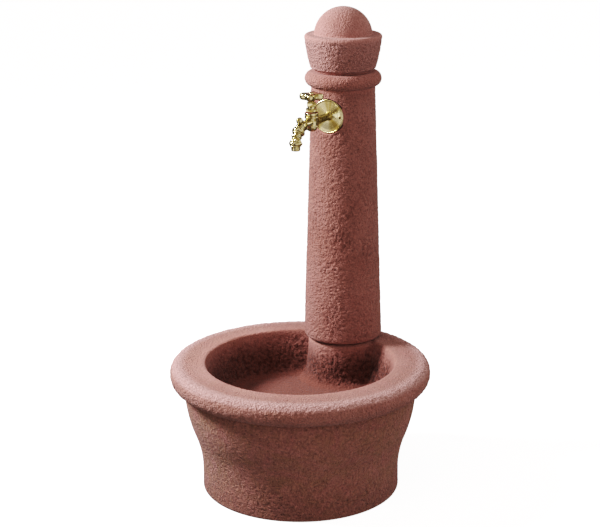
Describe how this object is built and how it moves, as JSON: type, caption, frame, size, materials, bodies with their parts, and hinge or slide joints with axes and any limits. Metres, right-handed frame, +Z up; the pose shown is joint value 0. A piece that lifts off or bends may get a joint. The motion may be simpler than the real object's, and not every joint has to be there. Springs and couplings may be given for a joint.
{
  "type": "garden fountain",
  "caption": "Free-standing cast-stone garden water point: round basin on a hollow foot, tapered column with a domed cap and a brass tap that pours into the bowl.",
  "frame": {"origin": "on the ground, under the middle of the whole object's outline, which is the basin's axis", "axes": "+Z up, +Y towards the column at the back, the tap looks towards -Y"},
  "size_m": [0.5, 0.5, 0.9085],
  "materials": {
    "cast_stone": "red cast stone, hammered and sanded",
    "mortar": "raked mortar",
    "brass": "polished",
    "rubber": "matt",
    "fibre": "pressed fibre",
    "steel": "stainless, brushed"
  },
  "bodies": {
    "fountain": {"basin": "cast_stone", "basin_foot": "cast_stone", "column": "cast_stone", "column_bed": "mortar", "tap_rosette": "brass", "tap_body": "brass", "bonnet_gasket": "fibre", "tap_bonnet": "brass", "gland_packing": "fibre", "gland_nut": "brass", "tap_extension": "brass", "elbow_washer": "rubber", "wall_elbow": "brass", "inlet_adapter": "brass", "riser_pipe": "steel", "riser_nuts": "brass", "riser_olives": "brass", "riser_grommet": "rubber", "drain_body": "brass", "drain_strainer": "steel", "strainer_screw": "steel", "drain_gasket": "rubber", "drain_washer": "rubber", "drain_backnut": "brass"},
    "valve": {"valve_disc": "brass", "valve_washer": "rubber", "washer_nut": "brass"},
    "handle": {"tap_spindle": "brass", "tap_handle": "brass", "handle_screw": "brass"},
    "cap": {"cap": "cast_stone"}
  },
  "joints": [
    {"name": "valve_lift", "type": "slide", "parent": "fountain", "child": "valve", "axis": [0, 0, 1], "range_m": [0, 0.005]},
    {"name": "handle_turn", "type": "hinge", "parent": "valve", "child": "handle", "pos_m": [0, 0.049, 0.707], "axis": [0, 0, 1], "range_deg": [0, 900]},
    {"name": "cap_lift", "type": "slide", "parent": "fountain", "child": "cap", "axis": [0, 0, 1], "range_m": [0, 0.05]}
  ],
  "couplings": [
    {"joint": "handle_turn", "follows": "valve_lift", "rad_per_m": 3141.6}
  ]
}
